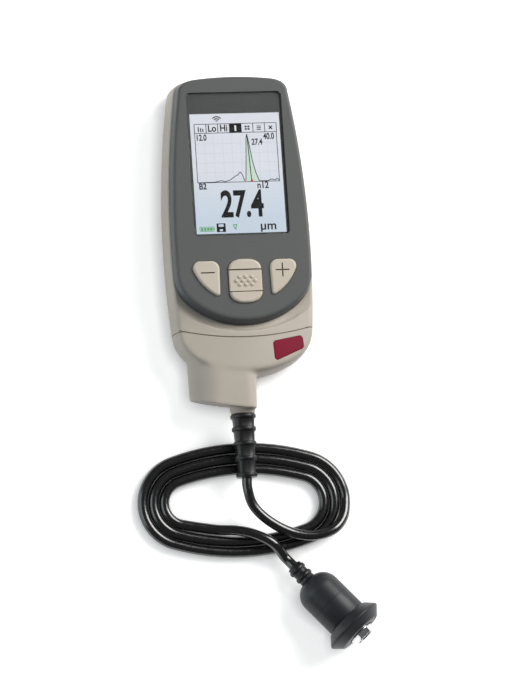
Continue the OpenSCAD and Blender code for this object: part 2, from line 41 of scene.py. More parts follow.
# Camera: a long lens above the gauge, which lies on its back. It stands to the left and towards the
# cable end, and is rolled so that the gauge leans to the left at its top.
camera_yaw = math.radians(10.8)
camera_pitch = math.radians(8.9)
camera_roll = math.radians(3.76)
camera_distance = 1.6
picture_width = 505
picture_height = 675
pixels_per_metre = 2225
screen_middle = Vector((0, 0.0145, 0.025))
screen_pixel = (238.2, 172.7)
towards = Vector((-math.sin(camera_yaw) * math.cos(camera_pitch), -math.sin(camera_pitch),
                  math.cos(camera_yaw) * math.cos(camera_pitch)))
level_right = (-towards).cross(Vector((0, 1, 0))).normalized()
level_up = level_right.cross(-towards)
right = level_right * math.cos(camera_roll) - level_up * math.sin(camera_roll)
up = level_right * math.sin(camera_roll) + level_up * math.cos(camera_roll)
picture_middle = screen_middle + right * (picture_width / 2 - screen_pixel[0]) / pixels_per_metre \
    - up * (picture_height / 2 - screen_pixel[1]) / pixels_per_metre
bpy.ops.object.camera_add()
camera = bpy.context.object
camera.name = "camera"
camera.matrix_world = Matrix.Translation(picture_middle + towards * camera_distance) @ Matrix(
    (right, up, towards)).transposed().to_4x4()
camera.data.sensor_fit = "VERTICAL"
camera.data.sensor_height = 36
camera.data.lens = 36 * camera_distance * pixels_per_metre / picture_height
camera.data.clip_end = 20
bpy.context.scene.camera = camera
bpy.context.scene.view_settings.view_transform = "Standard"


# Cable: a round black lead with a glossy extruded jacket. It leaves the strain relief, lies in a loose
# oval coil on the table, and rises over its own turns to the probe's boot.
millimetre = 0.001
cable_diameter = 4.6
relief_axis = (-2.5, 11.5)
relief_end_y = -121.8
guard_radius = 14.1
probe_radius = 9.8
probe_length = 29
shoulder_radius = 8
boot_length = 9
probe_heading = math.radians(40)
lean_arm = probe_length - shoulder_radius
lean_drop = guard_radius - (probe_radius - shoulder_radius)
probe_tilt = math.atan2(lean_drop, lean_arm) - math.asin(shoulder_radius / math.hypot(lean_arm, lean_drop))
probe_axis = Vector((math.sin(probe_heading) * math.cos(probe_tilt),
                     -math.cos(probe_heading) * math.cos(probe_tilt), math.sin(probe_tilt)))
probe_at = Vector((41, -190.5, guard_radius * math.cos(probe_tilt)))
cable_start = Vector((relief_axis[0], relief_end_y, relief_axis[1]))
cable_end = probe_at - probe_axis * (probe_length + boot_length)
coil_middle = (-4, -132)
coil_half = (47.4, 26)
coil_bend = 21.8
coil_turn = 4.9
bend_turn = 4.72
coil_steps = 20
coil_count = 54
table_z = 2.5


def coil_point(turns):
    half_height = coil_half[1] - turns * coil_turn
    bend = coil_bend - turns * bend_turn
    reach = coil_half[0] - turns * coil_turn - bend
    slack = half_height - bend
    drop = (reach ** 2 - slack ** 2) / (2 * slack)
    c = math.cos(math.tau * turns)
    s = math.sin(math.tau * turns)
    if abs(s) * reach < abs(c) * drop:
        x, y = math.copysign(reach, c) + bend * c, bend * s
    else:
        x, y = (half_height + drop) * c, (half_height + drop) * s - math.copysign(drop, s)
    return Vector((coil_middle[0] + x, coil_middle[1] + y, table_z))


def spline_point(points, index, share):
    a = points[max(index - 1, 0)]
    b = points[index]
    c = points[min(index + 1, len(points) - 1)]
    d = points[min(index + 2, len(points) - 1)]
    return 0.5 * (2 * b + share * (c - a) + share ** 2 * (2 * a - 5 * b + 4 * c - d)
                  + share ** 3 * (3 * b - a - 3 * c + d))


lead_in = [cable_start, cable_start + Vector((0, -5, -0.2))] + [Vector(spot) for spot in (
    (0, -134.5, 9.8), (7, -141.5, 8.6), (17, -147, 7.8), (27, -148.7, 7.6), (36, -146.5, 7.3),
    (41.5, -140.6, 5))]
coil = [coil_point(step / coil_steps) for step in range(coil_count + 1)]
lead_out = [Vector(spot) for spot in ((-17, -143.6, 3.4), (-8, -144.7, 6), (0, -147, 8), (8, -151.6, 8.8))]
lead_out += [cable_end - probe_axis * 5.5, cable_end]
cable_route = lead_in + coil + lead_out
cable_line = []
for index in range(len(cable_route) - 1):
    in_coil = len(lead_in) + 2 <= index < len(lead_in) + coil_count
    for step in range(6 if in_coil else 10):
        if in_coil:
            cable_line.append(coil_point((index - len(lead_in) + step / 6) / coil_steps))
        else:
            cable_line.append(spline_point(cable_route, index, step / 10))
cable_line.append(cable_end)
cable_curve = bpy.data.curves.new("cable", "CURVE")
cable_curve.dimensions = "3D"
cable_run = cable_curve.splines.new("POLY")
cable_run.points.add(len(cable_line) - 1)
for point, spot in zip(cable_run.points, cable_line):
    point.co = (*(spot * millimetre), 1)
cable_run.use_smooth = True
cable_curve.bevel_depth = cable_diameter / 2 * millimetre
cable_curve.bevel_resolution = 5
cable_curve.use_fill_caps = True
cable = bpy.data.objects.new("cable", cable_curve)
bpy.context.collection.objects.link(cable)


def shade(red, green, blue):
    levels = [level / 255 for level in (red, green, blue)]
    return (*[level / 12.92 if level <= 0.04045 else ((level + 0.055) / 1.055) ** 2.4 for level in levels], 1)


def new_finish(name, roughness, specular):
    finish = bpy.data.materials.new(name)
    finish.use_nodes = True
    shader = finish.node_tree.nodes["Principled BSDF"]
    shader.inputs["Roughness"].default_value = roughness
    shader.inputs["Specular IOR Level"].default_value = specular
    return finish, finish.node_tree.nodes, finish.node_tree.links, shader


def add_noise(parts, links, scale, detail):
    place = parts.new("ShaderNodeTexCoord")
    noise = parts.new("ShaderNodeTexNoise")
    noise.inputs["Scale"].default_value = scale
    noise.inputs["Detail"].default_value = detail
    links.new(place.outputs["Object"], noise.inputs["Vector"])
    return noise.outputs["Fac"]


def add_blend(parts, links, factor, low_colour, high_colour, low=0.35, high=0.65):
    ramp = parts.new("ShaderNodeValToRGB")
    ramp.color_ramp.elements[0].position = low
    ramp.color_ramp.elements[0].color = low_colour
    ramp.color_ramp.elements[1].position = high
    ramp.color_ramp.elements[1].color = high_colour
    links.new(factor, ramp.inputs["Fac"])
    return ramp.outputs["Color"]


def vary_roughness(parts, links, shader, factor, low, high):
    spread = parts.new("ShaderNodeMapRange")
    spread.inputs["From Min"].default_value = 0.3
    spread.inputs["From Max"].default_value = 0.7
    spread.inputs["To Min"].default_value = low
    spread.inputs["To Max"].default_value = high
    links.new(factor, spread.inputs["Value"])
    links.new(spread.outputs["Result"], shader.inputs["Roughness"])


def add_grain(parts, links, shader, height, strength, depth):
    bump = parts.new("ShaderNodeBump")
    bump.inputs["Strength"].default_value = strength
    bump.inputs["Distance"].default_value = depth
    links.new(height, bump.inputs["Height"])
    links.new(bump.outputs["Normal"], shader.inputs["Normal"])


def moulded(name, colour, roughness, specular, grain, relief, mottle):
    finish, parts, links, shader = new_finish(name, roughness, specular)
    cloud = add_noise(parts, links, 45, 3)
    darker = (*[level * (1 - mottle) for level in colour[:3]], 1)
    lighter = (*[min(level * (1 + mottle), 1) for level in colour[:3]], 1)
    links.new(add_blend(parts, links, cloud, darker, lighter), shader.inputs["Base Color"])
    speckle = add_noise(parts, links, grain, 2)
    vary_roughness(parts, links, shader, speckle, roughness - 0.05, roughness + 0.06)
    add_grain(parts, links, shader, speckle, relief, 0.00006)
    return finish


def coat(piece, finish):
    piece.data.materials.clear()
    piece.data.materials.append(finish)


jacket_finish = moulded("cable_jacket", shade(10, 10, 11), 0.22, 0.7, 700, 0.02, 0.12)
jacket_finish.node_tree.nodes["Principled BSDF"].inputs["IOR"].default_value = 1.65
coat(cable, jacket_finish)
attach(cable, "probe_connector")
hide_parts("probe_cable")


# Case form: the closed outer shape of the moulded body, cap and boss, in textured beige plastic. Bowed
# sides and a crowned front are skinned ring by ring, then the boss is grown on and blended by soft fillets.
case_width = 67
bulge_y = -18
side_bow = 430
body_top = 60.5
corner_y = body_top - 7.5
top_bow = 150
end_share = 0.6
seam_y = -56
seam_z = 20
seam_slope = 1.75
cap_bow = 45
cap_bottom = -76.8
chin_height = 22
crown_bow = 196
case_sections = [(0, 5.2), (0.7, 3.5), (1.9, 2), (3.8, 0.7), (6.5, 0), (10, 0), (14, 0.4), (17, 0.9),
                 (19, 1.4), (20.6, 2.4), (21.8, 4.2), (22.6, 6.8)]
boss_x = -11
boss_width = 29.5
boss_low = 1.5
boss_high = 20.5
boss_end = cap_bottom - 15
boss_corners = (5, 12.5, 6, 6)
form_voxel = 0.0006
fillet_passes = 18


def quad(a, b, c, steps):
    shares = [step / steps for step in range(steps + 1)]
    return [tuple((1 - t) ** 2 * a[k] + 2 * t * (1 - t) * b[k] + t * t * c[k] for k in (0, 1))
            for t in shares]


def side_x(y, d):
    return case_width / 2 - (y - bulge_y) ** 2 / (2 * side_bow) - d


def top_y(x, d):
    return body_top - x * x / (2 * top_bow) - d * end_share


def cap_y(x, d):
    return cap_bottom + cap_bow - math.sqrt((cap_bow - d * end_share) ** 2 - x * x)


def crown_z(x):
    return chin_height - crown_bow + math.sqrt(crown_bow ** 2 - x * x)


def mirrored(half):
    return [(-x, y) for x, y in reversed(half)]


def top_half(d):
    x2 = side_x(body_top - 2.5, d)
    x3 = x2 - 6.5
    corner = quad((side_x(corner_y, d), corner_y), (x2, top_y(x2, d)), (x3, top_y(x3, d)), 14)
    return corner + [(x3 * t / 8, top_y(x3 * t / 8, d)) for t in range(7, 0, -1)]


def case_outline(d):
    xa = 21 - d / 3
    xs = side_x(seam_y, d)
    half = [(x, cap_y(x, d)) for x in (2.5, 5, 7.5, 10, 12.5, 15, 17.5)]
    half += quad((xa, cap_y(xa, d)), (xs - 0.4, cap_y(xa, d) + 0.56 * (xs - 0.4 - xa)), (xs, seam_y), 14)
    rise = corner_y - seam_y
    half += [(side_x(y, d), y) for y in [seam_y + step / 26 * rise for step in range(1, 26)]]
    half += top_half(d)
    return [(0, cap_y(0, d))] + half + [(0, top_y(0, d))] + mirrored(half)


def finer(sections, steps):
    spots = [Vector(spot) for spot in sections]
    line = [spline_point(spots, index, step / steps)
            for index in range(len(spots) - 1) for step in range(steps)]
    return [tuple(spot) for spot in line] + [sections[-1]]


def lifted(outline, z):
    return [Vector((x, y, z)) * millimetre for x, y in outline]


def spot_key(spot):
    return tuple(round(level, 7) for level in spot)


def loft(name, rings):
    bpy.ops.mesh.primitive_circle_add(vertices=len(rings[0]), fill_type="NGON")
    piece = bpy.context.object
    piece.name = name
    for vertex, spot in zip(piece.data.vertices, rings[0]):
        vertex.co = spot
    bpy.ops.object.mode_set(mode="EDIT")
    bpy.ops.mesh.select_all(action="SELECT")
    for before, ring in zip(rings, rings[1:]):
        bpy.ops.mesh.extrude_region_move()
        shape = bmesh.from_edit_mesh(piece.data)
        moves = {spot_key(old): new for old, new in zip(before, ring)}
        for vertex in shape.verts:
            if vertex.select:
                vertex.co = moves[spot_key(vertex.co)]
        bmesh.update_edit_mesh(piece.data)
    bpy.ops.mesh.select_all(action="SELECT")
    bpy.ops.mesh.normals_make_consistent(inside=False)
    bpy.ops.object.mode_set(mode="OBJECT")
    return piece


def skin(name, outline, sections):
    return loft(name, [lifted(outline(d), z) for z, d in sections])


def prism(name, outline, low, high):
    return loft(name, [lifted(outline, z) for z in (low, high)])


def block(x0, x1, y0, y1, z0, z1):
    middle = Vector((x0 + x1, y0 + y1, z0 + z1)) * millimetre / 2
    bpy.ops.mesh.primitive_cube_add(size=1, location=middle)
    piece = bpy.context.object
    piece.scale = Vector((x1 - x0, y1 - y0, z1 - z0)) * millimetre
    bpy.ops.object.transform_apply()
    return piece


def cylinder(middle, length, radius, sides, turn):
    bpy.ops.mesh.primitive_cylinder_add(vertices=sides, radius=radius * millimetre, depth=length * millimetre,
                                        location=Vector(middle) * millimetre, rotation=(turn, 0, 0))
    bpy.ops.object.transform_apply()
    return bpy.context.object


def rod(x, y, z0, z1, radius, sides=48):
    return cylinder((x, y, (z0 + z1) / 2), z1 - z0, radius, sides, 0)


def rod_along_y(x, z, y0, y1, radius, sides=48):
    return cylinder((x, (y0 + y1) / 2, z), y1 - y0, radius, sides, math.pi / 2)


def carve(piece, tool, operation="DIFFERENCE", solver="MANIFOLD"):
    change = piece.modifiers.new("carve", "BOOLEAN")
    change.operation = operation
    change.solver = solver
    change.object = tool
    bpy.context.view_layer.objects.active = piece
    bpy.ops.object.modifier_apply(modifier="carve")
    bpy.data.objects.remove(tool, do_unlink=True)


def soften(piece, voxel, passes):
    bpy.context.view_layer.objects.active = piece
    change = piece.modifiers.new("melt", "REMESH")
    change.mode = "VOXEL"
    change.voxel_size = voxel
    bpy.ops.object.modifier_apply(modifier="melt")
    change = piece.modifiers.new("ease", "SMOOTH")
    change.factor = 0.5
    change.iterations = passes
    bpy.ops.object.modifier_apply(modifier="ease")


def copied(piece, name):
    twin = piece.copy()
    twin.data = piece.data.copy()
    twin.name = name
    bpy.context.collection.objects.link(twin)
    return twin


def smooth_faces(piece, degrees):
    bpy.ops.object.select_all(action="DESELECT")
    piece.select_set(True)
    bpy.context.view_layer.objects.active = piece
    bpy.ops.object.shade_smooth_by_angle(angle=math.radians(degrees))


def boss_ring(y, d, top):
    half = boss_width / 2
    ring = []
    for quarter, corner in enumerate(boss_corners):
        x = boss_x + (half - corner if quarter in (0, 3) else corner - half)
        z = top - corner if quarter < 2 else boss_low + corner
        reach = corner - d
        for step in range(13):
            angle = math.radians(quarter * 90 + step * 7.5)
            ring.append(Vector((x + reach * math.cos(angle), y, z + reach * math.sin(angle))) * millimetre)
    return ring


case_form = skin("case_form", case_outline, finer(case_sections, 3))
carve(case_form, rod_along_y(0, chin_height - crown_bow, -140, 100, crown_bow, 900), "INTERSECT")
boss_rings = [boss_ring(-64, 0, boss_high + 1), boss_ring(-78, 0, boss_high + 0.9),
              boss_ring(-84, 0.2, boss_high + 0.8), boss_ring(boss_end - 6, 0.7, boss_high + 0.6)]
carve(case_form, loft("boss_form", boss_rings), "UNION")
soften(case_form, form_voxel, fillet_passes)


# Rear case: the beige moulded body that carries everything else. It has a rim for the faceplate, a crescent
# ledge at the chin, a battery bay in its back and the rail that the connector slides on.
rim_z = 19
face_inset = 1.8
face_arc = 38.4
face_arc_y = -54.2 + face_arc
wall = 2.2
overlap = 0.4
seat_gap = 0.2
rim_width = 2.2
bay_wall = 1.4
ledge_depth = 1.7
ledge_y = -6.8
ledge_radius = 50
slot_depth = 0.9
slot_below = 0.46
slot_above = 0.04
rail_left = -24
neck_depth = 3
rail_depth = 6
neck_z = (7, 13)
head_z = (5, 15)
contact_left = -18.6
contact_width = 2.2
contact_pitch = 7
contact_count = 6
contact_z = (8, 12)
pillar_top = 15.2
pillar_radius = 2.6
screw_radius = 1.3
screw_head_radius = 2.3
door_half = 20
door_low = -12
slide_gap = 0.3
bay_low = -9
bay_high = 46
bay_top = 13.4
screw_spots = [(x, y) for y in (-37, 26) for x in (-24.4, 24.4)]
cavity_sections = [(wall, 5.4), (4.5, 3.4), (7, 2.4), (10, 2.4), (14, 2.8), (17, 3.3)]


def arc_y(x, d):
    return face_arc_y - math.sqrt((face_arc - (d - face_inset) * 1.5) ** 2 - x * x)


def face_outline(d):
    xa = 23 - d / 3
    ys = -31
    xs = side_x(ys, d)
    slope = xa / math.sqrt(face_arc ** 2 - xa * xa)
    half = [(x, arc_y(x, d)) for x in (2.5, 5, 7.5, 10, 12.5, 15, 17.5, 19.7)]
    half += quad((xa, arc_y(xa, d)), (xs, arc_y(xa, d) + slope * (xs - xa)), (xs, ys), 16)
    rise = corner_y - ys
    half += [(side_x(y, d), y) for y in [ys + step / 20 * rise for step in range(1, 20)]]
    half += top_half(d)
    return [(0, arc_y(0, d))] + half + [(0, top_y(0, d))] + mirrored(half)


def seam_tool(gap):
    y = seam_y - gap
    profile = [(y, -1), (y, seam_z), (y - seam_slope * 6, seam_z + 6), (-130, seam_z + 6), (-130, -1)]
    return loft("seam_tool", [[Vector((x, py, pz)) * millimetre for py, pz in profile] for x in (-60, 60)])


def rail_tools(gap, right_end):
    left = rail_left - gap
    neck_y = seam_y - neck_depth
    return [block(left, right_end, neck_y - gap, seam_y + 1, neck_z[0] - gap, neck_z[1] + gap),
            block(left, right_end, seam_y - rail_depth - gap, neck_y + gap, head_z[0] - gap, head_z[1] + gap)]


def contact_pockets(y0, y1):
    lefts = [contact_left + index * contact_pitch for index in range(contact_count)]
    return [block(left, left + contact_width, y0, y1, *contact_z) for left in lefts]


def seam_slot():
    rings = []
    for step in range(-66, 67, 2):
        x = step / 2
        z = crown_z(x)
        y = seam_y - seam_slope * (z - seam_z)
        back, front, low = y - slot_below, y + slot_above, z - slot_depth
        corners = ((back, low), (front, low), (front, z + 1), (back, z + 1))
        rings.append([Vector((x, py, pz)) * millimetre for py, pz in corners])
    return loft("seam_slot", rings)


rear_case = copied(case_form, "case_back")
carve(rear_case, block(-60, 60, -130, seam_y - 10, -10, 40))
carve(rear_case, prism("seat", face_outline(face_inset - seat_gap), rim_z, rim_z + 10))
carve(rear_case, block(-50, 50, -32, 88, rim_z, rim_z + 10))
ledge = rod(0, ledge_y, rim_z + 0.4, rim_z + 10, ledge_radius, 360)
carve(ledge, rod_along_y(0, chin_height - ledge_depth - crown_bow, -140, 100, crown_bow, 900))
carve(rear_case, ledge)
soften(rear_case, form_voxel, 2)
carve(rear_case, seam_tool(0))
carve(rear_case, seam_slot())
cavity = skin("cavity", case_outline, cavity_sections)
carve(cavity, block(-50, 50, seam_y + 2.6, 90, 0, 40), "INTERSECT")
carve(rear_case, cavity)
carve(rear_case, prism("mouth", face_outline(face_inset + rim_width), rim_z - 4, rim_z + 3))
back_pad = prism("back_pad", case_outline(2.4), wall - 1, wall + 3)
pad_limits = block(-door_half - 3, door_half + 3, door_low - 2, 66, wall - overlap, wall + 1.6)
carve(back_pad, pad_limits, "INTERSECT")
carve(rear_case, back_pad, "UNION")
bay_shell = block(-door_half + 0.6, door_half - 0.6, bay_low - bay_wall, bay_high + bay_wall,
                  wall - overlap, bay_top + 1.2)
carve(rear_case, bay_shell, "UNION")
for x, y in screw_spots:
    carve(rear_case, rod(x, y, wall - overlap, pillar_top, pillar_radius), "UNION")
rail_form = skin("rail_form", case_outline, ((3, 1.4), (6.5, 0.7), (10, 0.7), (16, 1.4)))
rail_neck, rail_head = rail_tools(0, 40)
carve(rail_neck, rail_head, "UNION")
carve(rail_neck, rail_form, "INTERSECT")
carve(rear_case, rail_neck, "UNION")
carve(rear_case, block(-door_half + 2, door_half - 2, bay_low, bay_high, -1, bay_top))
carve(rear_case, block(-door_half - slide_gap, door_half + slide_gap, door_low - slide_gap, 70, -1, 0.9))
carve(rear_case, block(-door_half - 1.5, door_half + 1.5, door_low - slide_gap, 70, 0.6, 2.1))
for x, y in screw_spots:
    carve(rear_case, rod(x, y, -1, 39, screw_radius))
    carve(rear_case, rod(x, y, -1, 4, screw_head_radius))
for pocket in contact_pockets(seam_y - rail_depth - 0.1, seam_y - rail_depth + 0.5):
    carve(rear_case, pocket)
smooth_faces(rear_case, 38)
case_finish = moulded("beige_case", shade(190, 181, 169), 0.46, 0.4, 2400, 0.3, 0.035)
coat(rear_case, case_finish)
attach(rear_case, "base")
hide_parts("rear_case")


# Battery door: a flat beige lid in the back that slides off the top end, with finger ribs at its lower end.
# The lid keeps its built shape and takes the case's finish.
bpy.ops.object.select_all(action="DESELECT")
door = copied(nodes["battery_door"], "door")
bpy.context.view_layer.objects.active = door
door.select_set(True)
bpy.ops.object.mode_set(mode="EDIT")
bpy.ops.mesh.select_all(action="SELECT")
bpy.ops.mesh.remove_doubles(threshold=0.000002)
bpy.ops.mesh.customdata_custom_splitnormals_clear()
bpy.ops.object.mode_set(mode="OBJECT")
smooth_faces(door, 30)
coat(door, case_finish)
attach(door, "battery_door")
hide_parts("battery_door")


# Case screws, springs and cell contacts: small plated steel pieces, turned or bent from strip. They keep
# their built shapes and take a brushed, slightly worn metal finish.
def brushed(name, colour, roughness, scale):
    finish, parts, links, shader = new_finish(name, roughness, 0.5)
    shader.inputs["Metallic"].default_value = 1
    place = parts.new("ShaderNodeTexCoord")
    stretch = parts.new("ShaderNodeMapping")
    stretch.inputs["Scale"].default_value = (1, 0.08, 1)
    links.new(place.outputs["Object"], stretch.inputs["Vector"])
    streak = parts.new("ShaderNodeTexNoise")
    streak.inputs["Scale"].default_value = scale
    streak.inputs["Detail"].default_value = 3
    links.new(stretch.outputs["Vector"], streak.inputs["Vector"])
    dull = (*[level * 0.82 for level in colour[:3]], 1)
    links.new(add_blend(parts, links, streak.outputs["Fac"], dull, colour), shader.inputs["Base Color"])
    vary_roughness(parts, links, shader, streak.outputs["Fac"], roughness - 0.06, roughness + 0.08)
    return finish


def dress(node, finish):
    coat(nodes[node], finish)


steel_finish = brushed("plated_steel", shade(190, 192, 196), 0.3, 4000)
for node in ("case_screws", "cell_springs", "cell_contacts", "dome_switches"):
    dress(node, steel_finish)
gold_finish = brushed("gold_plate", shade(214, 172, 84), 0.26, 5000)
for node in ("rail_contacts", "module_contacts"):
    dress(node, gold_finish)


# Cells: three plain steel-jacketed cells in printed plastic sleeves, laid in the bay from the back.
# Each sleeve is blue with a brighter band at one end.
def add_rise(parts, links, axis, low, high):
    place = parts.new("ShaderNodeTexCoord")
    split = parts.new("ShaderNodeSeparateXYZ")
    links.new(place.outputs["Object"], split.inputs["Vector"])
    rise = parts.new("ShaderNodeMapRange")
    rise.inputs["From Min"].default_value = low
    rise.inputs["From Max"].default_value = high
    links.new(split.outputs[axis], rise.inputs["Value"])
    return rise.outputs["Result"]


sleeve_finish, parts, links, shader = new_finish("cell_sleeve", 0.32, 0.5)
band = add_rise(parts, links, "Y", 0.024, 0.0245)
links.new(add_blend(parts, links, band, shade(28, 62, 120), shade(190, 150, 60), 0.4, 0.6),
          shader.inputs["Base Color"])
scuff = add_noise(parts, links, 500, 4)
vary_roughness(parts, links, shader, scuff, 0.26, 0.42)
for node in ("cell_left", "cell_middle", "cell_right"):
    dress(node, sleeve_finish)


# Boards, chips and the display's holder: glass-fibre boards under green lacquer, black moulded chips and a
# white moulded frame. They are hidden inside and keep their built shapes.
board_finish = moulded("board_lacquer", shade(28, 96, 58), 0.35, 0.5, 1500, 0.15, 0.15)
for node in ("main_board", "module_board"):
    dress(node, board_finish)
dress("board_chips", moulded("chip_moulding", shade(34, 34, 36), 0.5, 0.4, 3000, 0.3, 0.08))
dress("display_holder", moulded("holder_moulding", shade(226, 225, 220), 0.5, 0.4, 2000, 0.2, 0.03))
dress("display_panel", moulded("panel_edge", shade(60, 62, 66), 0.35, 0.5, 2000, 0.1, 0.05))
rubber_finish = moulded("black_rubber", shade(30, 30, 32), 0.62, 0.35, 1800, 0.3, 0.08)
for node in ("case_seal", "display_gasket"):
    dress(node, rubber_finish)
dress("keypad_mat", moulded("grey_rubber", shade(92, 92, 92), 0.6, 0.35, 1800, 0.3, 0.06))


# Faceplate: a slate-grey moulded shell that stands proud of the case, with a convex lower arc, a rolled edge,
# a pocket for the display window and openings for the keys. Four screws from the back hold it by its bosses.
face_height = 25.4
face_under = 22.8
window_size = (43.6, 65.6)
window_y = 51.6 - window_size[1] / 2
window_floor = 24.0
window_corner = 2
pocket_gap = 0.1
screen_size = (41, 55)
screen_y = 14.5
key_gap = 0.2
screw_boss_radius = 1.7
screw_boss_hole = 1
face_sections = [(rim_z, 1.8), (22.5, 2.3), (24.2, 2.65), (24.75, 2.85), (25.1, 3.1), (25.3, 3.45),
                 (face_height, 3.9)]
minus_corners = [(-15.1, -29.2, 3.7, 0, 90), (-20.4, -28.7, 3.2, 90, 202.5),
                 (-1.18, -20.74, 24, 202.5, 239.1), (-12.9, -40.3, 1.2, 239.1, 360)]
plus_corners = [(20.4, -28.7, 3.2, -22.5, 90), (15.1, -29.2, 3.7, 90, 180), (12.9, -40.3, 1.2, 180, 300.9),
                (1.18, -20.74, 24, 300.9, 337.5)]
nav_corners = [(3.1, -29.8, 4.4, 0, 78), (0, -55, 30, 84, 96), (-3.1, -29.8, 4.4, 102, 180),
               (-2.7, -39.8, 4.8, 180, 258), (0, -15, 30, 264, 276), (2.7, -39.8, 4.8, 282, 360)]


def key_outline(corners, d, steps=14):
    return [(x + (r - d) * math.cos(math.radians(a + (b - a) * step / steps)),
             y + (r - d) * math.sin(math.radians(a + (b - a) * step / steps)))
            for x, y, r, a, b in corners for step in range(steps + 1)]


def round_rect(width, height, radius, y):
    reach_x = width / 2 - radius
    reach_y = height / 2 - radius
    return key_outline([(reach_x, y + reach_y, radius, 0, 90), (-reach_x, y + reach_y, radius, 90, 180),
                        (-reach_x, y - reach_y, radius, 180, 270), (reach_x, y - reach_y, radius, 270, 360)],
                       0, 8)


def window_outline(grow):
    width, height = window_size
    return round_rect(width + 2 * grow, height + 2 * grow, window_corner + grow, window_y)


def weigh_normals(piece):
    bpy.context.view_layer.objects.active = piece
    change = piece.modifiers.new("weigh", "WEIGHTED_NORMAL")
    change.keep_sharp = True
    bpy.ops.object.modifier_apply(modifier="weigh")


def screen_block(grow, low, high):
    reach_x = screen_size[0] / 2 + grow
    reach_y = screen_size[1] / 2 + grow
    return block(-reach_x, reach_x, screen_y - reach_y, screen_y + reach_y, low, high)


faceplate = skin("faceplate", face_outline, finer(face_sections, 2) + [(face_height, 4.4)])
face_tools = [skin("under", face_outline, ((rim_z - 0.1, 3.6), (face_under, 4.2))),
              prism("pocket", window_outline(pocket_gap), window_floor, window_floor + 5),
              screen_block(0.5, face_under - 1, face_under + 4)]
face_tools += [prism("opening", key_outline(corners, -key_gap), face_under - 1, face_height + 1)
               for corners in (minus_corners, plus_corners, nav_corners)]
for tool in face_tools:
    carve(faceplate, tool, solver="EXACT")
for x, y in screw_spots:
    boss = rod(x, y, 16.8, face_under + 0.3, screw_boss_radius)
    carve(boss, rod(x, y, 15, 20.3, screw_boss_hole), solver="EXACT")
    carve(faceplate, boss, "UNION", "EXACT")
smooth_faces(faceplate, 32)
weigh_normals(faceplate)


def add_product(parts, links, first, second):
    mix = parts.new("ShaderNodeMix")
    mix.data_type = "RGBA"
    mix.blend_type = "MULTIPLY"
    mix.inputs["Factor"].default_value = 1
    links.new(first, mix.inputs["A"])
    links.new(second, mix.inputs["B"])
    return mix.outputs["Result"]


slate_finish, parts, links, shader = new_finish("slate_face", 0.45, 0.4)
# Painted shade: the rolled skirt below the flat top is coloured darker by height. This stands in for the edge
# being turned away from the lamps.
height = add_rise(parts, links, "Z", 0.0246, 0.0252)
skirt_painted_shade = add_blend(parts, links, height, shade(76, 80, 83), shade(92, 94, 93), 0, 1)
cloud = add_noise(parts, links, 60, 3)
tint = add_blend(parts, links, cloud, (0.95, 0.95, 0.95, 1), (1, 1, 1, 1))
links.new(add_product(parts, links, skirt_painted_shade, tint), shader.inputs["Base Color"])
speckle = add_noise(parts, links, 3000, 2)
vary_roughness(parts, links, shader, speckle, 0.4, 0.52)
add_grain(parts, links, shader, speckle, 0.3, 0.00005)
coat(faceplate, slate_finish)
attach(faceplate, "base")
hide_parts("front_shell")


# Display window: a clear acrylic pane set a little below the face, dark-printed on its underside round the
# lit area and across the header.
window_top = 25.1
print_top = 24.06
pane = prism("window_glass", window_outline(0), print_top, window_top)
smooth_faces(pane, 15)
pane_finish, parts, links, shader = new_finish("clear_pane", 0.04, 0.5)
shader.inputs["Transmission Weight"].default_value = 1
shader.inputs["IOR"].default_value = 1.45
vary_roughness(parts, links, shader, add_noise(parts, links, 220, 4), 0.02, 0.06)
links.new(add_blend(parts, links, add_noise(parts, links, 30, 2), (0.97, 0.98, 0.98, 1), (1, 1, 1, 1)),
          shader.inputs["Base Color"])
coat(pane, pane_finish)
pane.visible_shadow = False
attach(pane, "base")
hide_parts("display_window")
header = prism("window_print", window_outline(0), window_floor, print_top - 0.01)
carve(header, screen_block(0, window_floor - 1, window_floor + 1), solver="EXACT")
coat(header, moulded("header_print", shade(41, 43, 43), 0.4, 0.4, 2500, 0.08, 0.03))
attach(header, "base")


# Lit display: the front glass of the panel, lit from behind, with thin dark and coloured figures on it: a row
# of small boxes, a chart with one tall peak, a large reading and a row of signs.
glass_top = 23.95
ink_top = 23.985
screen_left = -screen_size[0] / 2
screen_top = screen_y + screen_size[1] / 2


def lit(name, colour, strength):
    finish, parts, links, shader = new_finish(name, 0.35, 0.1)
    place = parts.new("ShaderNodeTexCoord")
    rows = parts.new("ShaderNodeTexWave")
    rows.bands_direction = "X"
    rows.inputs["Scale"].default_value = 1500
    links.new(place.outputs["Object"], rows.inputs["Vector"])
    dimmer = (*[level * 0.94 for level in colour[:3]], 1)
    glow = add_blend(parts, links, rows.outputs["Fac"], dimmer, colour, 0, 1)
    links.new(glow, shader.inputs["Emission Color"])
    shader.inputs["Emission Strength"].default_value = strength
    shader.inputs["Base Color"].default_value = (0.006, 0.006, 0.006, 1)
    return finish


def on_screen(u, v):
    return (screen_left + u * screen_size[0], screen_top - v * screen_size[1])


def figure(name, spots):
    outline = [on_screen(u, v) for u, v in spots]
    area = sum(a[0] * b[1] - b[0] * a[1] for a, b in zip(outline, outline[1:] + outline[:1]))
    if area < 0:
        outline.reverse()
    return prism(name, outline, glass_top, ink_top)


def bar(u0, u1, v0, v1):
    return figure("bar", [(u0, v0), (u1, v0), (u1, v1), (u0, v1)])


def stroke(u0, v0, u1, v1, width):
    along = Vector(((u1 - u0) * screen_size[0], (v1 - v0) * screen_size[1])).normalized() * width / 2
    side = (along.y / screen_size[0], -along.x / screen_size[1])
    return figure("stroke", [(u0 + side[0], v0 + side[1]), (u1 + side[0], v1 + side[1]),
                             (u1 - side[0], v1 - side[1]), (u0 - side[0], v0 - side[1])])


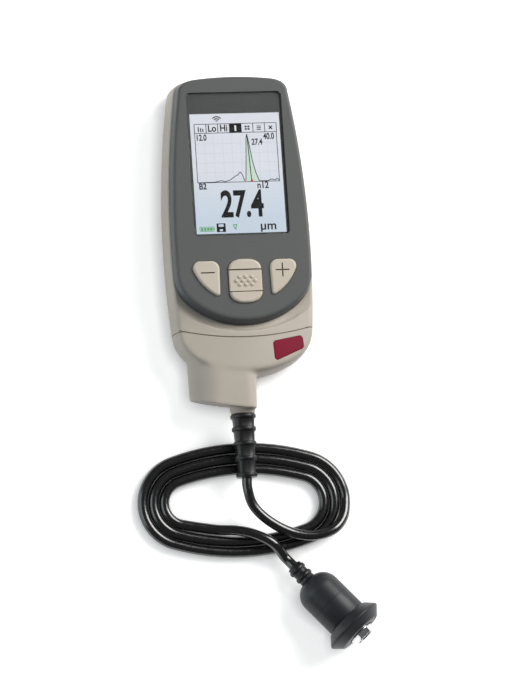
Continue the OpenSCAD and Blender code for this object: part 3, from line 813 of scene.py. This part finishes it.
def sign(words, u, v, height, narrow, bold):
    bpy.ops.object.text_add()
    piece = bpy.context.object
    piece.data.body = words
    piece.data.size = height * 1.4 * millimetre
    piece.data.offset = bold * millimetre
    piece.data.extrude = (ink_top - glass_top) / 2 * millimetre
    piece.data.align_x = "CENTER"
    piece.data.align_y = "CENTER"
    bpy.ops.object.convert(target="MESH")
    piece = bpy.context.object
    x, y = on_screen(u, v)
    piece.scale = (narrow, 1, 1)
    piece.location = Vector((x, y, (glass_top + ink_top) / 2)) * millimetre
    bpy.ops.object.transform_apply()
    return piece


def raise_by(piece, height):
    for vertex in piece.data.vertices:
        vertex.co.z += height * millimetre


def joined(name, pieces, finish):
    bpy.ops.object.select_all(action="DESELECT")
    for piece in pieces:
        piece.select_set(True)
    bpy.context.view_layer.objects.active = pieces[0]
    bpy.ops.object.join()
    whole = bpy.context.object
    whole.name = name
    coat(whole, finish)
    return whole


screen_glass = screen_block(0, face_under - 1, glass_top)
screen_glass.name = "screen_glass"
glass_finish = lit("lit_glass", shade(229, 232, 241), 0.97)
parts = glass_finish.node_tree.nodes
links = glass_finish.node_tree.links
shader = parts["Principled BSDF"]
fall = add_rise(parts, links, "Y", -0.006, 0.016)
tint = add_blend(parts, links, fall, (0.8, 0.9, 0.94, 1), (1, 1, 1, 1), 0, 1)
rows = shader.inputs["Emission Color"].links[0].from_socket
links.new(add_product(parts, links, rows, tint), shader.inputs["Emission Color"])
coat(screen_glass, glass_finish)
box_left = 0.045
box_pitch = 0.131


def box_u(place):
    return box_left + place * box_pitch


def box_bar(first, last, v0, v1):
    return bar(box_u(first), box_u(last), v0, v1)


boxes = [bar(box_u(index) - 0.004, box_u(index) + 0.004, 0.085, 0.162) for index in range(8)]
boxes += [box_bar(0, 7, 0.083, 0.088), box_bar(0, 7, 0.159, 0.164), box_bar(3, 3.42, 0.086, 0.162),
          box_bar(3.58, 4, 0.086, 0.162), box_bar(3.3, 3.7, 0.086, 0.1), box_bar(3.3, 3.7, 0.148, 0.162)]
boxes += [box_bar(place, place + 0.09, low, 0.15)
          for place, low in ((0.3, 0.108), (0.5, 0.118), (0.68, 0.124))]
boxes += [sign("Lo", box_u(1.5), 0.124, 3.1, 0.88, 0.1), sign("Hi", box_u(2.5), 0.124, 3.1, 0.88, 0.1)]
boxes += [box_bar(4.3 + 0.24 * column, 4.47 + 0.24 * column, 0.106 + 0.021 * row, 0.12 + 0.021 * row)
          for row in range(2) for column in range(2)]
boxes += [box_bar(5.32, 5.68, 0.108 + 0.014 * row, 0.115 + 0.014 * row) for row in range(3)]
boxes += [stroke(box_u(6.36), 0.111, box_u(6.64), 0.139, 0.5),
          stroke(box_u(6.64), 0.111, box_u(6.36), 0.139, 0.5)]
chart = [bar(0.043, 0.05, 0.162, 0.575), bar(0.955, 0.962, 0.162, 0.575), bar(0.043, 0.962, 0.572, 0.577)]
trace = [(0.05, 0.573), (0.24, 0.571), (0.31, 0.56), (0.35, 0.57), (0.41, 0.556), (0.47, 0.525),
         (0.5, 0.515), (0.525, 0.49), (0.55, 0.515), (0.57, 0.565), (0.585, 0.56), (0.6, 0.4),
         (0.615, 0.21), (0.625, 0.175), (0.64, 0.24), (0.67, 0.4), (0.7, 0.5), (0.735, 0.57),
         (0.83, 0.57), (0.87, 0.557), (0.91, 0.566), (0.935, 0.552), (0.957, 0.57)]
for (u0, v0), (u1, v1) in zip(trace, trace[1:]):
    chart.append(stroke(u0, v0, u1, v1, 0.34))
chart.append(stroke(0.627, 0.18, 0.648, 0.565, 0.4))
signs = [sign("12.0", 0.115, 0.2, 2.8, 0.74, 0.1), sign("40.0", 0.87, 0.2, 2.8, 0.74, 0.1),
         sign("27.4", 0.735, 0.245, 2.8, 0.74, 0.1), sign("B2", 0.1, 0.607, 2.8, 0.85, 0.1),
         sign("n12", 0.77, 0.607, 3.0, 0.85, 0.1),
         sign("27.4", 0.525, 0.768, 12, 0.68, 0.45), sign("µm", 0.8, 0.945, 4.0, 1.05, 0.1)]
for size in (1.0, 0.62, 0.24):
    turns = [math.radians(40 + 10 * step) for step in range(11)]
    reach = 0.06 * size
    for a, b in zip(turns, turns[1:]):
        signs.append(stroke(0.3 + reach * math.cos(a), 0.07 - reach * 0.75 * math.sin(a),
                            0.3 + reach * math.cos(b), 0.07 - reach * 0.75 * math.sin(b), 0.5))
signs += [bar(0.225, 0.325, 0.915, 0.987), bar(0.44, 0.444, 0.962, 0.972)]
ink_finish = lit("screen_ink", shade(16, 18, 22), 0.2)
ink = joined("screen_ink", boxes + chart + signs, ink_finish)
peak = figure("screen_peak", [(0.588, 0.57), (0.602, 0.4), (0.616, 0.21), (0.625, 0.18), (0.64, 0.25),
                              (0.668, 0.4), (0.698, 0.5), (0.73, 0.57)])
raise_by(peak, -0.02)
coat(peak, lit("peak_tint", shade(214, 236, 220), 0.92))
greens = [bar(0.035, 0.195, 0.94, 0.945), bar(0.035, 0.195, 0.975, 0.98), bar(0.035, 0.042, 0.94, 0.98),
          bar(0.188, 0.195, 0.94, 0.98), bar(0.195, 0.203, 0.952, 0.968)]
greens += [bar(0.05 + 0.034 * index, 0.077 + 0.034 * index, 0.949, 0.972) for index in range(4)]
greens += [stroke(0.412, 0.93, 0.43, 0.965, 0.4), stroke(0.45, 0.93, 0.432, 0.965, 0.4),
           bar(0.408, 0.454, 0.925, 0.933)]
green = joined("screen_green", greens, lit("screen_green", shade(96, 178, 104), 0.85))
marker = figure("screen_marker", [(0.632, 0.577), (0.651, 0.545), (0.67, 0.577)])
coat(marker, lit("screen_red", shade(196, 40, 40), 0.85))
raise_by(marker, 0.02)
slot_mark = [bar(0.247, 0.303, 0.922, 0.943), bar(0.258, 0.292, 0.963, 0.98)]
lines = [bar(0.05 + 0.1 * index, 0.0525 + 0.1 * index, 0.17, 0.57) for index in range(1, 9)]
lines += [bar(0.05, 0.955, 0.17 + 0.08 * index, 0.172 + 0.08 * index) for index in range(1, 5)]
pale = joined("screen_lines", lines, lit("screen_grid", shade(206, 211, 226), 0.9))
raise_by(pale, -0.025)
lights_in = joined("screen_slots", slot_mark, glass_finish)
raise_by(lights_in, 0.02)
for piece in (screen_glass, ink, peak, green, marker, pale, lights_in):
    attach(piece, "base")


# Keys: three beige moulded keys, softly crowned, that stand out of the faceplate and rest on the rubber mat.
# The outer two carry engraved and dark-filled marks. The middle one is a rocker with a separate centre key
# that has ten grip bumps.
key_bottom = 21.5
key_top = 26.6
key_round = 1.15
nav_y = -35
nav_low = -39.6
nav_high = -30.2
nav_gap = 0.5
bridge_top = 23.4
mark_x = 17
mark_reach = 3.2
mark_half = 0.28
mark_depth = 0.3
stem_hole = 3.5
stem_radius = 2.2
bump_radius = 1.05
bump_pitch = 2.85
bump_row = 1.7
key_finish = moulded("beige_key", shade(205, 195, 180), 0.42, 0.4, 2600, 0.2, 0.03)
groove_finish = moulded("dark_fill", shade(72, 63, 53), 0.6, 0.3, 2600, 0.2, 0.1)


def key_sections(top):
    turns = [math.radians(10 * step) for step in range(10)]
    edge = [(top - key_round * (1 - math.sin(turn)), key_round * (1 - math.cos(turn))) for turn in turns]
    return [(key_bottom, -1), (key_bottom + 0.7, -1), (key_bottom + 0.7, 0)] + edge


def mark_tool(x, y, upright):
    end = mark_reach - mark_half
    outline = key_outline([(end, 0, mark_half, -90, 90), (-end, 0, mark_half, 90, 270)], 0, 8)
    if upright:
        outline = [(-py, px) for px, py in outline]
    placed = [(px + x, py + y) for px, py in outline]
    return prism("mark", placed, key_top - mark_depth, key_top + 1)


def key_form(name, corners, sections):
    return skin(name, lambda d: key_outline(corners, d), sections)


def finish_key(piece, body, node):
    smooth_faces(piece, 36)
    weigh_normals(piece)
    coat(piece, key_finish)
    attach(piece, body)
    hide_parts(node)


def fill_marks(piece):
    piece.data.materials.append(groove_finish)
    for face in piece.data.polygons:
        x, y, level = face.center / millimetre
        inside = abs(abs(x) - mark_x) < mark_reach + 0.15 and -34.5 < y < -26.9
        if inside and key_top - mark_depth - 0.02 < level < key_top - 0.02:
            if face.normal.z > 0.95 and level < key_top - 0.25 or face.normal.z < 0.2:
                face.material_index = 1


minus = key_form("key_minus", minus_corners, key_sections(key_top))
carve(minus, mark_tool(-mark_x, -31, False), solver="EXACT")
finish_key(minus, "minus_key", "minus_key")
fill_marks(minus)
plus = key_form("key_plus", plus_corners, key_sections(key_top))
for upright in (False, True):
    carve(plus, mark_tool(mark_x, -30.6, upright), solver="EXACT")
finish_key(plus, "plus_key", "plus_key")
fill_marks(plus)
rocker = key_form("key_rocker", nav_corners, key_sections(key_top + 0.2))
carve(rocker, block(-20, 20, nav_low - nav_gap, nav_high + nav_gap, bridge_top, 40), solver="EXACT")
carve(rocker, block(-stem_hole, stem_hole, nav_y - stem_hole, nav_y + stem_hole, 0, 40), solver="EXACT")
finish_key(rocker, "nav_rocker", "nav_rocker")
centre_top = key_top - 0.3
centre = key_form("key_centre", nav_corners, (
    (bridge_top + 1, 0), (centre_top - 0.5, 0), (centre_top - 0.25, 0.06), (centre_top - 0.1, 0.2),
    (centre_top - 0.02, 0.42), (centre_top, 0.7)))
carve(centre, block(-20, 20, nav_low, nav_high, 0, 40), "INTERSECT", "EXACT")
carve(centre, rod(0, nav_y, key_bottom - 0.2, bridge_top + 1.3, stem_radius), "UNION", "EXACT")
finish_key(centre, "nav_center_key", "nav_center_key")
bumps = []
for row in (-1, 0, 1):
    count = 4 if row == 0 else 3
    for index in range(count):
        spot = Vector(((index - (count - 1) / 2) * bump_pitch, nav_y + row * bump_row, centre_top - 0.36))
        bpy.ops.mesh.primitive_uv_sphere_add(segments=24, ring_count=14, radius=bump_radius * millimetre,
                                             location=spot * millimetre)
        bpy.ops.object.transform_apply()
        bpy.ops.object.mode_set(mode="EDIT")
        bpy.ops.mesh.bisect(plane_co=Vector((0, 0, centre_top - 0.4)) * millimetre, plane_no=(0, 0, 1),
                            clear_inner=True, use_fill=True)
        bpy.ops.object.mode_set(mode="OBJECT")
        bpy.ops.object.shade_smooth()
        bumps.append(bpy.context.object)
grips = joined("key_bumps", bumps, key_finish)
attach(grips, "nav_center_key")


# Connector cap: the beige moulded end that slides on the rail, with an off-centre boss for the cable. It is
# hollow inside, and the boss ends in a short round spout.
relief_top = boss_end - 1.5
room_low = -71
module_floor = seam_y - rail_depth - slide_gap
cap_voxel = 0.0005
cable_hole = 4.2
boss_right = boss_x + boss_width / 2
end_slant = 0.09
end_bend = 0.0025
end_draft = 0.1
badge_at = (18.6, -64.2)
badge_turn = math.radians(4)
badge_corners = [(5.5, 2.5, 1.5, 0, 90), (-5.5, 1.3, 1.5, 90, 180), (-5.7, -4.6, 1.4, 180, 270),
                 (5.4, -0.6, 1.6, 270, 360)]
cap = case_form
cap.name = "cap"
carve(cap, block(-60, 60, -130, seam_y + 4, -10, 40), "INTERSECT")
end_line = [(boss_right - step, boss_end + end_slant * step + end_bend * step ** 2) for step in range(37)]
end_outline = [(end_line[-1][0], -130), (40, -130), (40, boss_end)] + end_line
carve(cap, loft("end_tool", [lifted([(x, y + end_draft * (boss_high - z)) for x, y in end_outline], z)
                             for z in (-10, 40)]))


def relief_ring(y, reach, power):
    ring = []
    for step in range(64):
        angle = math.tau * step / 64
        c, s = math.cos(angle), math.sin(angle)
        radius = reach / (abs(c) ** power + abs(s) ** power) ** (1 / power)
        ring.append(Vector((relief_axis[0] + radius * c, y, relief_axis[1] + radius * s)) * millimetre)
    return ring


spout_steps = [(boss_end + 4, 5.8), (boss_end + 0.4, 5.8), (boss_end - 0.4, 5.5), (relief_top, 5.3)]
carve(cap, loft("spout", [relief_ring(y, radius, 2) for y, radius in spout_steps]), "UNION")
soften(cap, cap_voxel, 2)
carve(cap, seam_tool(0.3), "INTERSECT")
carve(cap, seam_slot())
for tool in rail_tools(slide_gap, 60):
    carve(cap, tool)
carve(cap, block(-16, 14, room_low, module_floor - 1.6, 4, 18))
carve(cap, rod_along_y(*relief_axis, room_low - 59, room_low + 1, cable_hole))
for pocket in contact_pockets(module_floor - 0.5, module_floor + 0.1):
    carve(cap, pocket)


def badge_outline(grow):
    c, s = math.cos(badge_turn), math.sin(badge_turn)
    return [(badge_at[0] + x * c - y * s, badge_at[1] + x * s + y * c)
            for x, y in key_outline(badge_corners, -grow)]


def on_crown(outline, below):
    return [Vector((x, y, crown_z(x) - below)) * millimetre for x, y in outline]


carve(cap, loft("badge_seat", [on_crown(badge_outline(0.1), below) for below in (0.6, -3)]))
smooth_faces(cap, 38)
coat(cap, case_finish)
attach(cap, "probe_connector")
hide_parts("connector_cap")


# Badge: a crimson enamelled plate, glued into a shallow seat in the cap's front. It lies flush and follows
# the cap's crown.
badge = loft("badge", [on_crown(badge_outline(grow), below) for below, grow in (
    (0.6, 0), (0.12, 0), (0.04, -0.06), (0, -0.2), (-0.01, -0.6))])
smooth_faces(badge, 40)
coat(badge, moulded("crimson_enamel", shade(130, 4, 42), 0.5, 0.2, 1600, 0.08, 0.06))
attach(badge, "probe_connector")
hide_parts("cap_badge")


# Strain relief: a tapered black rubber sleeve moulded on the cable, with five collars and flat-sided waists
# between them, so that it bends evenly.
relief_length = 28.5
core_radius = 3.8
collar_radius = 5.75
collar_taper = 0.24
waist_depth = 0.95
waist_power = 3.4
collar = 2
collar_steps = ((0, 0.75, 3), (0.1, 0.3, 2.3), (0.4, 0.05, 2.1), (0.7, 0, 2.1), (1.3, 0, 2.1),
                (1.6, 0.05, 2.1), (1.9, 0.3, 2.3), (collar, 0.75, 3))
collar_pitch = (relief_length - collar) / 4
collar_starts = [0] + [index * collar_pitch - 0.9 for index in (1, 2, 3)] + [4 * collar_pitch]
relief_rings = [relief_ring(relief_top + 6, core_radius, 2), relief_ring(relief_top, core_radius, 2)]
for index, start in enumerate(collar_starts):
    wide = collar_radius - collar_taper * index
    for along, less, power in collar_steps:
        relief_rings.append(relief_ring(relief_top - start - along, wide - less, power))
    if index < 4:
        waist = collar_starts[index + 1] - start - collar
        for share in (0.12, 0.5, 0.88):
            relief_rings.append(relief_ring(relief_top - start - collar - waist * share,
                                            wide - waist_depth - collar_taper * share, waist_power))
relief = loft("relief", relief_rings)
smooth_faces(relief, 40)
relief_finish = moulded("relief_rubber", shade(24, 24, 26), 0.4, 0.45, 1700, 0.2, 0.1)
coat(relief, relief_finish)
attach(relief, "probe_connector")
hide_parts("strain_relief")


# Probe: a matte black turned housing with a rounded rear shoulder, a flared guard with a bevelled front set
# on its nose, and a ribbed rubber boot moulded on where the cable enters.
probe_place = Matrix.Translation(probe_at * millimetre) @ Matrix.Rotation(probe_heading, 4, "Z") \
    @ Matrix.Rotation(math.pi / 2 - probe_tilt, 4, "X")


def turned(name, profile):
    turns = [math.tau * step / 96 for step in range(96)]
    rings = []
    for radius, along in profile:
        ring = [Vector((radius * math.cos(turn), radius * math.sin(turn), along)) for turn in turns]
        rings.append([probe_place @ (spot * millimetre) for spot in ring])
    return loft(name, rings)


boot_end = -probe_length - boot_length
boot_profile = [(2.9, 0), (3.2, 0.1), (3.35, 0.4), (3.45, 1.3), (3.85, 1.6), (4.05, 2), (4.05, 3),
                (3.85, 3.4), (3.45, 3.7), (3.45, 5.3), (3.9, 5.6), (4.15, 6), (4.15, 7), (3.9, 7.4),
                (3.55, 7.7), (3.7, 9), (2.9, 9), (2.9, 11.8)]
boot = turned("boot", [(radius, boot_end + along) for radius, along in boot_profile])
smooth_faces(boot, 50)
coat(boot, relief_finish)
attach(boot, "probe_connector")
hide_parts("probe_boot")
shoulder_steps = [math.pi / 2 * step / 12 for step in range(13)]
housing_profile = [(3.1, -probe_length + 4), (3.1, -probe_length + 0.02)]
housing_profile += [(probe_radius - shoulder_radius + shoulder_radius * math.sin(a) if a > 0.18 else 3.25,
                     -probe_length + shoulder_radius * (1 - math.cos(a))) for a in shoulder_steps[1:]]
housing_profile += [(probe_radius - less, along) for less, along in (
    (0, -14.2), (0.12, -14.1), (0.12, -13.9), (0, -13.8), (0, -4.3), (0.15, -4.1), (0.15, -1))]
housing_profile.append((6.55, -1))
housing = turned("probe_body", housing_profile)
smooth_faces(housing, 40)
housing_finish = moulded("probe_moulding", shade(38, 40, 45), 0.42, 0.4, 2200, 0.3, 0.08)
coat(housing, housing_finish)
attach(housing, "probe_connector")
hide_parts("probe_housing")
guard = turned("probe_flange", [
    (6.5, -1), (probe_radius, -1), (probe_radius, -4), (10.4, -4), (10.75, -3.9), (13.4, -0.95),
    (13.75, -0.6), (13.98, -0.25), (14.08, 0.15), (14.05, 0.5), (13.85, 0.8), (13.5, 1.1), (10.75, 3.9),
    (10.5, 4.1), (10.2, 4.24), (9.8, 4.3), (6.7, 4.3), (6.45, 4.2), (6.4, 4), (6.4, 2.65), (4.4, 2.6),
    (4.4, 1), (6.5, 1)])
smooth_faces(guard, 32)
coat(guard, housing_finish)
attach(guard, "probe_connector")
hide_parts("probe_guard")


# Probe tip: a chromed hexagon ferrule round a dark sensor face with a small white dot at its middle. The
# holder and the transducer sit behind it, inside the housing.
chrome_finish = brushed("bright_chrome", shade(232, 233, 236), 0.12, 2500)
dress("sensor_ferrule", chrome_finish)
dress("sensor_face", moulded("sensor_ceramic", shade(66, 66, 68), 0.45, 0.4, 4000, 0.3, 0.12))
dress("sensor_dot", moulded("white_dot", shade(238, 238, 234), 0.4, 0.5, 4000, 0.1, 0.03))
dress("sensor_holder", brushed("brass_holder", shade(186, 160, 100), 0.32, 3000))
dress("transducer", moulded("ceramic_core", shade(214, 202, 168), 0.5, 0.4, 2000, 0.2, 0.06))


# Studio: a plain white table that keeps the shadows, with an even glow that is dimmed near and between parts
# as painted contact shadow, a large soft lamp at the upper right, a weaker one low at the left and an even
# surround.
bpy.ops.mesh.primitive_plane_add(size=8, location=(0, -0.07, -0.0002))
table = bpy.context.object
table.name = "table"
table_finish = bpy.data.materials.new("white_table")
table_finish.use_nodes = True
parts = table_finish.node_tree.nodes
links = table_finish.node_tree.links
parts.clear()
out = parts.new("ShaderNodeOutputMaterial")
both = parts.new("ShaderNodeAddShader")
plain = parts.new("ShaderNodeBsdfDiffuse")
plain.inputs["Color"].default_value = (0.82, 0.82, 0.82, 1)
glow = parts.new("ShaderNodeEmission")
ray = parts.new("ShaderNodeLightPath")
# Painted contact shadow: an occlusion factor within 7 mm dims the table's glow under the parts and in the
# gaps between the cable's turns.
corner = parts.new("ShaderNodeAmbientOcclusion")
corner.samples = 8
corner.inputs["Distance"].default_value = 0.007
brightness = parts.new("ShaderNodeValue")
brightness.outputs["Value"].default_value = 0.68


def add_math(operation, first, second):
    result = parts.new("ShaderNodeMath")
    result.operation = operation
    links.new(first, result.inputs[0])
    links.new(second, result.inputs[1])
    return result.outputs["Value"]


through = add_math("MAXIMUM", ray.outputs["Is Glossy Ray"], ray.outputs["Is Transmission Ray"])
seen = add_math("MAXIMUM", ray.outputs["Is Camera Ray"], through)
level = add_math("MULTIPLY", seen, brightness.outputs["Value"])
links.new(add_math("MULTIPLY", level, corner.outputs["AO"]), glow.inputs["Strength"])
links.new(plain.outputs["BSDF"], both.inputs[0])
links.new(glow.outputs["Emission"], both.inputs[1])
links.new(both.outputs["Shader"], out.inputs["Surface"])
coat(table, table_finish)
world = bpy.data.worlds.new("studio")
bpy.context.scene.world = world
world.use_nodes = True
surround = world.node_tree.nodes["Background"]
surround.inputs["Color"].default_value = (1, 1, 1, 1)
surround.inputs["Strength"].default_value = 0.13


def lamp(name, spot, aim, size, power, colour):
    bpy.ops.object.light_add(type="AREA", location=spot)
    light = bpy.context.object
    light.name = name
    light.data.shape = "SQUARE"
    light.data.size = size
    light.data.color = colour
    light.data.energy = power
    light.rotation_euler = (Vector(aim) - Vector(spot)).to_track_quat("-Z", "Y").to_euler()


lamp("key", (0.85, 0.5, 0.85), (0, -0.05, 0), 0.8, 19.5, (1, 0.99, 0.975))
lamp("fill", (-1.0, -0.1, 0.5), (0, -0.05, 0), 0.9, 4.6, (0.86, 0.97, 1))
